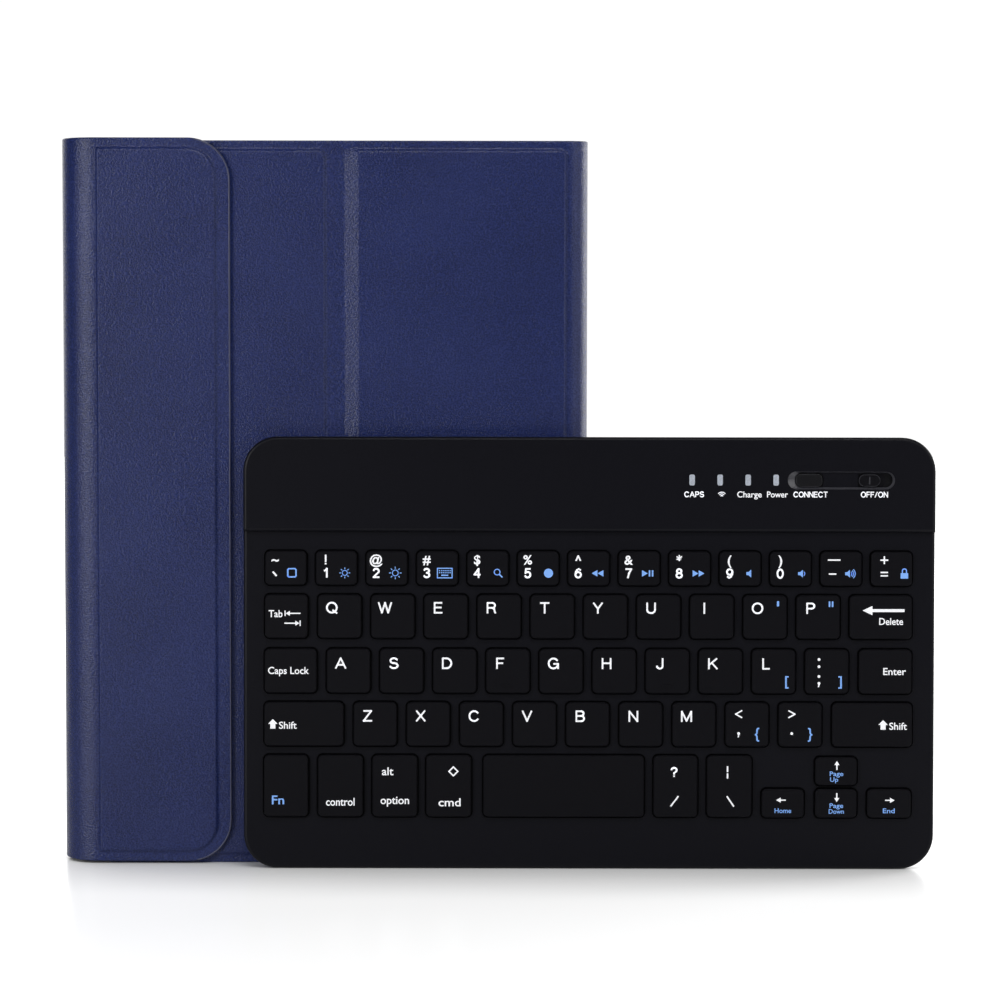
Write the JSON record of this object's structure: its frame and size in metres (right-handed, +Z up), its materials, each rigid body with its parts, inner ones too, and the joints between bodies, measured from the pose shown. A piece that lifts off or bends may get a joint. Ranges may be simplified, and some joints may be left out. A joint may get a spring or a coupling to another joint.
{
  "type": "tablet keyboard case",
  "caption": "Navy leather-look tablet folio with folding stand panels, closure flap and tablet tray, with a detached slim black keyboard leaning on its front.",
  "frame": {"origin": "on the ground, under the middle of the bounding box of the standing case and the keyboard in front of it", "axes": "+Z up the standing case, +X to the right along the front, front faces -Y"},
  "size_m": [0.2576, 0.0314, 0.2145],
  "materials": {
    "navy_leather": "fine pebble grain, satin",
    "lining": "brushed microfibre",
    "stiffener": "board",
    "magnet": "nickel plated",
    "tray_plastic": "soft touch",
    "adhesive": "film",
    "shell_black": "fine satin",
    "key_black": "satin",
    "steel": "bare",
    "film": "clear film",
    "dome_rubber": "silicone",
    "board_green": "solder mask",
    "cell_foil": "foil pouch",
    "lamp_window": "translucent",
    "foot_rubber": "soft",
    "switch_plastic": "satin",
    "screw_steel": "black zinc"
  },
  "bodies": {
    "tray_cover": {"tray_panel_skin": "navy_leather", "tray_panel_board": "stiffener", "tray_panel_lining": "lining", "closure_plates": "magnet", "tablet_tray": "tray_plastic", "tray_adhesive": "adhesive"},
    "prop_panel": {"prop_panel_skin": "navy_leather", "prop_panel_board": "stiffener", "prop_panel_lining": "lining"},
    "rear_cover": {"keyboard_cover_skin": "navy_leather", "keyboard_cover_board": "stiffener", "keyboard_cover_lining": "lining", "dock_magnets": "magnet"},
    "flap": {"flap_skin": "navy_leather", "flap_board": "stiffener", "flap_lining": "lining", "flap_magnets": "magnet"},
    "keyboard": {"keyboard_top_frame": "shell_black", "keyboard_bottom_cover": "shell_black", "keyboard_screws": "screw_steel", "rubber_feet": "foot_rubber", "indicator_lenses": "lamp_window", "key_support_plate": "steel", "membrane_sheet": "film", "rubber_domes": "dome_rubber", "circuit_board": "board_green", "battery": "cell_foil", "usb_port": "steel", "dock_plates": "steel", "connect_switch_body": "switch_plastic", "power_switch_body": "switch_plastic"},
    "key_number_row": {"key_number_row": "key_black"},
    "key_upper_letters": {"key_upper_letters": "key_black"},
    "key_home_letters": {"key_home_letters": "key_black"},
    "key_lower_letters": {"key_lower_letters": "key_black"},
    "key_tab": {"key_tab": "key_black"},
    "key_delete": {"key_delete": "key_black"},
    "key_caps_lock": {"key_caps_lock": "key_black"},
    "key_enter": {"key_enter": "key_black"},
    "key_shift_left": {"key_shift_left": "key_black"},
    "key_shift_right": {"key_shift_right": "key_black"},
    "key_fn": {"key_fn": "key_black"},
    "key_control": {"key_control": "key_black"},
    "key_option": {"key_option": "key_black"},
    "key_command": {"key_command": "key_black"},
    "key_space": {"key_space": "key_black"},
    "key_slash": {"key_slash": "key_black"},
    "key_backslash": {"key_backslash": "key_black"},
    "key_arrow_left": {"key_arrow_left": "key_black"},
    "key_arrow_up": {"key_arrow_up": "key_black"},
    "key_arrow_down": {"key_arrow_down": "key_black"},
    "key_arrow_right": {"key_arrow_right": "key_black"},
    "connect_button": {"connect_button": "switch_plastic"},
    "power_slider": {"power_slider": "switch_plastic"}
  },
  "joints": [
    {"name": "case_open", "type": "hinge", "parent": "prop_panel", "child": "rear_cover", "pos_m": [0.0268, 0.00511, 0.1076], "axis": [0, 0, -1], "range_deg": [0, 120]},
    {"name": "stand_fold", "type": "hinge", "parent": "tray_cover", "child": "prop_panel", "pos_m": [-0.0469, -0.00469, 0.1069], "axis": [0, 0, -1], "range_deg": [0, 48.5]},
    {"name": "flap_open", "type": "hinge", "parent": "rear_cover", "child": "flap", "pos_m": [-0.1288, 0.00401, 0.1076], "axis": [0, 0, -1], "range_deg": [0, 175]},
    {"name": "keyboard_set_aside", "type": "slide", "parent": "tray_cover", "child": "keyboard", "axis": [0, -1, 0], "range_m": [0, 0.085]},
    {"name": "key_number_row_press", "type": "slide", "parent": "keyboard", "child": "key_number_row", "axis": [0, 0.9995, -0.0305], "range_m": [0, 0.0013], "stiffness_N_per_m": 900},
    {"name": "key_upper_letters_press", "type": "slide", "parent": "keyboard", "child": "key_upper_letters", "axis": [0, 0.9995, -0.0305], "range_m": [0, 0.0013], "stiffness_N_per_m": 900},
    {"name": "key_home_letters_press", "type": "slide", "parent": "keyboard", "child": "key_home_letters", "axis": [0, 0.9995, -0.0305], "range_m": [0, 0.0013], "stiffness_N_per_m": 900},
    {"name": "key_lower_letters_press", "type": "slide", "parent": "keyboard", "child": "key_lower_letters", "axis": [0, 0.9995, -0.0305], "range_m": [0, 0.0013], "stiffness_N_per_m": 900},
    {"name": "key_tab_press", "type": "slide", "parent": "keyboard", "child": "key_tab", "axis": [0, 0.9995, -0.0305], "range_m": [0, 0.0013], "stiffness_N_per_m": 300},
    {"name": "key_delete_press", "type": "slide", "parent": "keyboard", "child": "key_delete", "axis": [0, 0.9995, -0.0305], "range_m": [0, 0.0013], "stiffness_N_per_m": 300},
    {"name": "key_caps_lock_press", "type": "slide", "parent": "keyboard", "child": "key_caps_lock", "axis": [0, 0.9995, -0.0305], "range_m": [0, 0.0013], "stiffness_N_per_m": 300},
    {"name": "key_enter_press", "type": "slide", "parent": "keyboard", "child": "key_enter", "axis": [0, 0.9995, -0.0305], "range_m": [0, 0.0013], "stiffness_N_per_m": 300},
    {"name": "key_shift_left_press", "type": "slide", "parent": "keyboard", "child": "key_shift_left", "axis": [0, 0.9995, -0.0305], "range_m": [0, 0.0013], "stiffness_N_per_m": 300},
    {"name": "key_shift_right_press", "type": "slide", "parent": "keyboard", "child": "key_shift_right", "axis": [0, 0.9995, -0.0305], "range_m": [0, 0.0013], "stiffness_N_per_m": 300},
    {"name": "key_fn_press", "type": "slide", "parent": "keyboard", "child": "key_fn", "axis": [0, 0.9995, -0.0305], "range_m": [0, 0.0013], "stiffness_N_per_m": 300},
    {"name": "key_control_press", "type": "slide", "parent": "keyboard", "child": "key_control", "axis": [0, 0.9995, -0.0305], "range_m": [0, 0.0013], "stiffness_N_per_m": 300},
    {"name": "key_option_press", "type": "slide", "parent": "keyboard", "child": "key_option", "axis": [0, 0.9995, -0.0305], "range_m": [0, 0.0013], "stiffness_N_per_m": 300},
    {"name": "key_command_press", "type": "slide", "parent": "keyboard", "child": "key_command", "axis": [0, 0.9995, -0.0305], "range_m": [0, 0.0013], "stiffness_N_per_m": 300},
    {"name": "key_space_press", "type": "slide", "parent": "keyboard", "child": "key_space", "axis": [0, 0.9995, -0.0305], "range_m": [0, 0.0013], "stiffness_N_per_m": 300},
    {"name": "key_slash_press", "type": "slide", "parent": "keyboard", "child": "key_slash", "axis": [0, 0.9995, -0.0305], "range_m": [0, 0.0013], "stiffness_N_per_m": 300},
    {"name": "key_backslash_press", "type": "slide", "parent": "keyboard", "child": "key_backslash", "axis": [0, 0.9995, -0.0305], "range_m": [0, 0.0013], "stiffness_N_per_m": 300},
    {"name": "key_arrow_left_press", "type": "slide", "parent": "keyboard", "child": "key_arrow_left", "axis": [0, 0.9995, -0.0305], "range_m": [0, 0.0013], "stiffness_N_per_m": 300},
    {"name": "key_arrow_up_press", "type": "slide", "parent": "keyboard", "child": "key_arrow_up", "axis": [0, 0.9995, -0.0305], "range_m": [0, 0.0013], "stiffness_N_per_m": 300},
    {"name": "key_arrow_down_press", "type": "slide", "parent": "keyboard", "child": "key_arrow_down", "axis": [0, 0.9995, -0.0305], "range_m": [0, 0.0013], "stiffness_N_per_m": 300},
    {"name": "key_arrow_right_press", "type": "slide", "parent": "keyboard", "child": "key_arrow_right", "axis": [0, 0.9995, -0.0305], "range_m": [0, 0.0013], "stiffness_N_per_m": 300},
    {"name": "connect_button_press", "type": "slide", "parent": "keyboard", "child": "connect_button", "axis": [0, 0.9995, -0.0305], "range_m": [0, 0.0005], "stiffness_N_per_m": 600},
    {"name": "power_slider_shift", "type": "slide", "parent": "keyboard", "child": "power_slider", "axis": [1, 0, 0], "range_m": [0, 0.0033]}
  ],
  "couplings": [
    {"joint": "stand_fold", "follows": "case_open", "ratio": 0.4},
    {"joint": "keyboard_set_aside", "follows": "case_open", "m_per_rad": 0.04}
  ]
}
